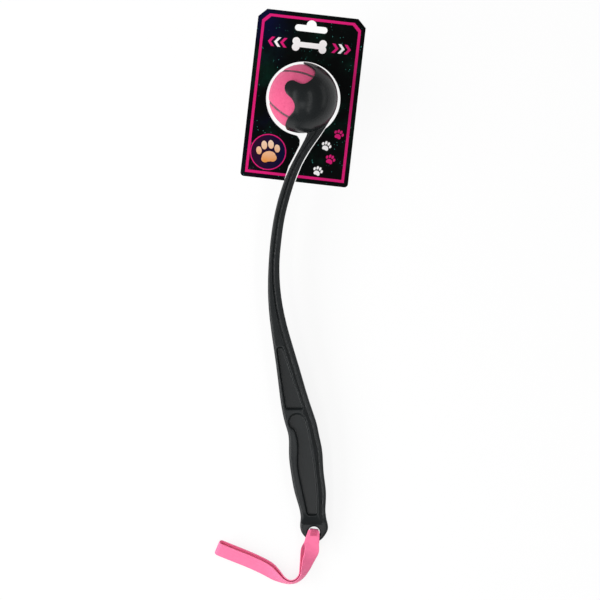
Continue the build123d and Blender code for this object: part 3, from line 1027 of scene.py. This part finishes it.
@dataclass(frozen=True)
class Spot:
    """A place on the card. Its shapes lie about the origin and are given as the distance to their edge."""

    x: Wire
    y: Wire

    def moved(self, x: float, y: float) -> "Spot":
        """The same place, seen from another origin."""
        return Spot(self.x - x, self.y - y)

    def turned(self, turn: float) -> "Spot":
        """The same place, seen from axes turned by an angle in radians."""
        c, s = math.cos(turn), math.sin(turn)
        return Spot(self.x * c + self.y * s, self.y * c - self.x * s)

    def circle(self, radius: float) -> Wire:
        """A circle."""
        return (self.x * self.x + self.y * self.y) ** 0.5 - radius

    def oval(self, wide: float, high: float) -> Wire:
        """Roughly an ellipse, from its two radii."""
        return Spot(self.x / wide, self.y / high).circle(1.0) * min(wide, high)

    def box(self, wide: float, high: float) -> Wire:
        """A rectangle, from half its width and half its height."""
        return (abs(self.x) - wide) & (abs(self.y) - high)

    def bone(self, half: float, thick: float) -> Wire:
        """A bone that lies across, from half its bar's length and the bar's thickness."""
        knob = Spot(abs(self.x) - half, abs(self.y) - thick * 0.55).circle(thick * 0.72)
        return self.box(half, thick / 2) | knob

    def chevron(self, size: float, thick: float) -> Wire:
        """A chevron that points along +X, from half its height and its stroke."""
        arm = (self.x + abs(self.y) * CHEVRON_SLOPE) / math.hypot(1, CHEVRON_SLOPE)
        return Spot(arm, self.y).box(thick / 2, size)

    def paw(self, size: float) -> Wire:
        """Joins the ovals of a paw print: a broad pad with two lobes under four toes.

        Args:
            size: Half its width.

        Returns:
            The distance to its edge.
        """
        shape = self.moved(0.0, -0.42 * size).oval(0.56 * size, 0.42 * size)
        lobe, outer, inner = (0.30, -0.58, 0.32, 0.30), (0.74, 0.14, 0.22, 0.32), (0.27, 0.52, 0.23, 0.35)
        for side in (-size, size):
            for x, y, wide, high in (lobe, outer, inner):
                shape = shape | self.moved(side * x, size * y).oval(size * wide, size * high)
        return shape


@dataclass
class HangCard:
    """The hang card, with a generic print: a border, a bone between chevrons, a large paw and a track."""

    width: float = 104.8 * MM
    height: float = 163.6 * MM
    turn: float = math.radians(-6.5)
    side: float = 1.1 * MM
    up: float = 1.0 * MM
    top_cut: float = 8.0 * MM
    border_inset: float = 4.2 * MM
    border_width: float = 2.6 * MM
    soft: float = 0.12 * MM
    headline_up: float = 51.0 * MM
    bone_half: float = 13.0 * MM
    bone_thick: float = 5.2 * MM
    chevron_side: float = 27.0 * MM
    chevron_pitch: float = 6.0 * MM
    chevron_half: float = 4.6 * MM
    chevron_thick: float = 2.3 * MM
    disc_place: tuple[float, float] = (-28.0 * MM, -56.0 * MM)
    disc_radius: float = 17.0 * MM
    disc_line: float = 0.5 * MM
    large_size: float = 12.0 * MM
    large_turn: float = math.radians(12.0)
    large_up: float = 0.8 * MM
    track_place: tuple[float, float] = (30.0 * MM, -50.0 * MM)
    track_count: int = 4
    track_pitch: float = 12.5 * MM
    track_slope: float = 0.22
    track_sway: float = 4.0 * MM
    track_size: float = 5.0 * MM
    track_turn: float = math.radians(-18.0)
    roughness: float = 0.30
    smear_scale: float = 45.0
    smear_swing: float = 0.12
    ripple_scale: float = 220.0
    ripple_height: float = 0.04 * MM
    pulp_scale: float = 1800.0
    cloud_scale: float = 22.0
    drift_scale: float = 14.0
    dot_scale: float = 330.0
    sparse_scale: float = 95.0
    fur_scale: float = 120.0
    night: Colour = (0.0004, 0.0010, 0.0010)
    teal: Colour = (0.0008, 0.0240, 0.0140)
    speck: Colour = (0.08, 0.42, 0.36)
    blue: Colour = (0.0015, 0.0030, 0.0300)
    plum: Colour = (0.0220, 0.0025, 0.0200)
    magenta: Colour = (0.66, 0.012, 0.165)
    white: Colour = (0.90, 0.88, 0.88)
    cream: Colour = (0.82, 0.62, 0.46)
    amber: Colour = (0.72, 0.27, 0.055)
    pulp: Colour = (0.62, 0.60, 0.57)
    pale_pulp: Colour = (0.75, 0.73, 0.70)

    def build(self) -> None:
        """Dresses the card's node with its print."""
        g = Graph("printed_board")
        x, y, _ = g.axes(g.place())
        spot = Spot(x, y).moved(LIE.centre.x + self.side, LIE.centre.y + self.up).turned(self.turn)
        _, _, facing = g.axes(g.node("ShaderNodeNewGeometry", {}, {}, "Normal"))
        edge = g.blend(g.noise(g.place(), self.pulp_scale, roughness=0.7), self.pulp, self.pale_pulp)
        colour = g.blend(facing.within(0.4, 0.6), edge, self.printed(g, spot))
        rough = self.roughness + (g.noise(g.place(), self.smear_scale) - 0.5) * self.smear_swing
        ripple = g.noise(g.place(), self.ripple_scale, detail=2.0)
        normal = g.bump(ripple, self.ripple_height, strength=0.35)
        dress("backing_card", g.end(g.principled(colour, rough, normal, Specular_IOR_Level=0.06)))

    def fill(self, distance: Wire) -> Wire:
        """1 inside a shape and 0 outside, from the distance to its edge."""
        return 1.0 - distance.within(-self.soft, self.soft)

    def outline(self, spot: Spot, inset: float) -> Wire:
        """Measures to the card's outline.

        Args:
            spot: The place, from the card's middle.
            inset: How far the outline is drawn in.

        Returns:
            The distance.
        """
        wide = self.width / 2 - inset
        high = self.height / 2 - inset
        corner = (wide + high - self.top_cut + inset * 0.3) / math.sqrt(2)
        return spot.box(wide, high) & ((abs(spot.x) + spot.y) / math.sqrt(2) - corner)

    def mottled(self, g: Graph, spot: Spot) -> Wire:
        """Mixes the dark ink under the print, with sparse specks in it.

        Args:
            g: The material's graph.
            spot: The place, from the card's middle.

        Returns:
            The colour.
        """
        x, y = spot.x, spot.y
        flat = g.vector(x, y, 0.0)
        cloud = g.noise(flat, self.cloud_scale, detail=6.0, roughness=0.62)
        drift = g.noise(g.vector(x, y, 0.3), self.drift_scale, detail=5.0, roughness=0.6)
        ink = g.blend(cloud.within(0.46, 0.80), self.night, self.teal)
        left = (-x).within(5 * MM, 55 * MM)
        ink = g.blend(drift.within(0.45, 0.75) * left, ink, self.blue)
        low = (-y).within(45 * MM, 85 * MM)
        ink = g.blend((1.0 - drift).within(0.45, 0.70) * left * low, ink, self.plum)
        dots = 1.0 - g.cells(flat, self.dot_scale).within(0.05, 0.14)
        sparse = g.noise(g.vector(x, y, 0.7), self.sparse_scale, detail=2.0).within(0.44, 0.60)
        return g.blend(dots * sparse, ink, self.speck)

    def printed(self, g: Graph, spot: Spot) -> Wire:
        """Draws the card's print.

        Args:
            g: The material's graph.
            spot: The place, from the card's middle.

        Returns:
            The colour.
        """
        outer = self.fill(self.outline(spot, self.border_inset))
        inner = self.fill(self.outline(spot, self.border_inset + self.border_width))
        ink = g.blend(outer - inner, self.mottled(g, spot), self.magenta)
        top = spot.moved(0.0, self.headline_up)
        ink = g.blend(self.fill(top.bone(self.bone_half, self.bone_thick)), ink, self.white)
        for side in (-1, 1):
            for step, colour in enumerate((self.magenta, self.white, self.magenta)):
                place = self.chevron_side + step * self.chevron_pitch
                mark = Spot(top.x * side - place, top.y).chevron(self.chevron_half, self.chevron_thick)
                ink = g.blend(self.fill(mark), ink, colour)
        ink = self.large_paw(g, ink, spot.moved(*self.disc_place))
        for step in range(self.track_count):
            along = (step - (self.track_count - 1) / 2) * self.track_pitch
            side, colour = (1, self.magenta) if step % 2 else (-1, self.white)
            here = spot.moved(*self.track_place)
            here = here.moved(along * self.track_slope + side * self.track_sway, along)
            ink = g.blend(self.fill(here.turned(self.track_turn).paw(self.track_size)), ink, colour)
        return ink

    def large_paw(self, g: Graph, ink: Wire, spot: Spot) -> Wire:
        """Adds the large paw on its disc.

        Args:
            g: The material's graph.
            ink: The print so far.
            spot: The place, from the disc's middle.

        Returns:
            The print with the paw.
        """
        disc = spot.circle(self.disc_radius)
        glow = g.blend(spot.x / (30 * MM) + 0.5, self.plum, self.blue)
        ink = g.blend(self.fill(disc), ink, glow)
        ink = g.blend(self.fill(abs(disc) - self.disc_line), ink, self.magenta)
        shade = g.noise(g.vector(spot.x, spot.y, 0.0), self.fur_scale, detail=4.0, roughness=0.6)
        fur = g.blend(spot.y / (22 * MM) + shade * 0.5 + 0.2, self.amber, self.cream)
        paw = spot.moved(0.0, self.large_up).turned(self.large_turn).paw(self.large_size)
        return g.blend(self.fill(paw), ink, fur)


@dataclass(frozen=True)
class SoftBox:
    """One soft lamp: where it hangs, the point it faces, its width, its length along Y and its power."""

    name: str
    place: tuple[float, float, float]
    size: tuple[float, float]
    watts: float
    aim: tuple[float, float, float] = (0.0, 0.0, 0.0)

    def hang(self) -> None:
        """Adds the lamp, with its length along Y."""
        data = bpy.data.lights.new(self.name, "AREA")
        data.shape = "RECTANGLE"
        data.size, data.size_y = self.size
        data.energy = self.watts
        lamp = linked(self.name, data)
        lamp.location = self.place
        back = (Vector(self.place) - Vector(self.aim)).normalized()
        side = Vector((0, 1, 0)).cross(back).normalized()
        lamp.rotation_mode = "QUATERNION"
        lamp.rotation_quaternion = Matrix((side, back.cross(side), back)).transposed().to_quaternion()


@dataclass
class Studio:
    """The floor, the lamps and the camera."""

    frame_width: float = 578.0 * MM
    distance: float = 6.0
    aim_side: float = -2.2 * MM
    aim_up: float = -194.9 * MM
    floor_half: float = 30.0
    floor_colour: Colour = (0.93, 0.93, 0.93)
    floor_glow: float = 0.85
    world_level: float = 0.40
    lamps: tuple[SoftBox, ...] = (
        SoftBox("main_left", (-1.85, -0.35, 1.05), (1.0, 2.4), 40.0),
        SoftBox("main_right", (2.1, 0.3, 0.5), (0.5, 2.4), 3.5),
        SoftBox("strip_left", (-0.70, -0.35, 1.6), (0.16, 2.4), 7.5),
        SoftBox("strip_right", (0.74, -0.35, 1.6), (0.16, 2.4), 5.5),
        SoftBox("low_box", (0.0, -0.52, 1.5), (0.5, 0.55), 1.7, aim=(0.0, -0.3, 0.0)),
    )

    def floor(self) -> None:
        """Lays the floor under the lowest point."""
        bm = bmesh.new()
        bmesh.ops.create_grid(bm, x_segments=1, y_segments=1, size=self.floor_half)
        mesh = bpy.data.meshes.new("floor")
        bmesh.ops.translate(bm, verts=bm.verts, vec=(0, 0, CAD_BOX[0].z))
        bm.to_mesh(mesh)
        bm.free()
        g = Graph("pale_floor")
        lit = g.principled(self.floor_colour, 0.9, Specular_IOR_Level=0.0)
        seen = g.node("ShaderNodeLightPath", {}, {}, "Is Camera Ray") * self.floor_glow
        white = g.node("ShaderNodeEmission", {}, {"Color": WHITE, "Strength": 1.0})
        mesh.materials.append(g.end(g.node("ShaderNodeMixShader", {}, {0: seen, 1: lit, 2: white})))
        floor = linked("floor", mesh)

    def world(self) -> None:
        """Makes the surroundings: white where the camera sees them, soft grey in light and reflections."""
        g = Graph("studio", of_world=True)
        seen = g.node("ShaderNodeLightPath", {}, {}, "Is Camera Ray")
        lit, white = (
            g.node("ShaderNodeBackground", {}, {"Color": WHITE, "Strength": level})
            for level in (self.world_level, 1.0)
        )
        bpy.context.scene.world = g.end(g.node("ShaderNodeMixShader", {}, {0: seen, 1: lit, 2: white}))

    def camera(self) -> None:
        """Puts the camera straight above, with a long lens."""
        data = bpy.data.cameras.new("camera")
        data.lens = data.sensor_width * self.distance / self.frame_width
        data.clip_end = 100.0
        camera = linked("camera", data)
        camera.location = LIE.centre + Vector((self.aim_side, self.aim_up, self.distance))
        bpy.context.scene.camera = camera

    def build(self) -> None:
        """Sets the whole studio up."""
        bpy.context.scene.view_settings.view_transform = "Standard"
        self.floor()
        self.world()
        for lamp in self.lamps:
            lamp.hang()
        self.camera()


def main() -> None:
    """Builds every sub-assembly in order."""
    logging.basicConfig(level=logging.INFO, format="%(name)s: %(message)s")
    LauncherMoulding().build()
    FeltBall().build()
    WristStrap().build()
    HangCard().build()
    dress("strap_stitching", PinkThread().material())
    Studio().build()


if __name__ == "__main__":
    main()
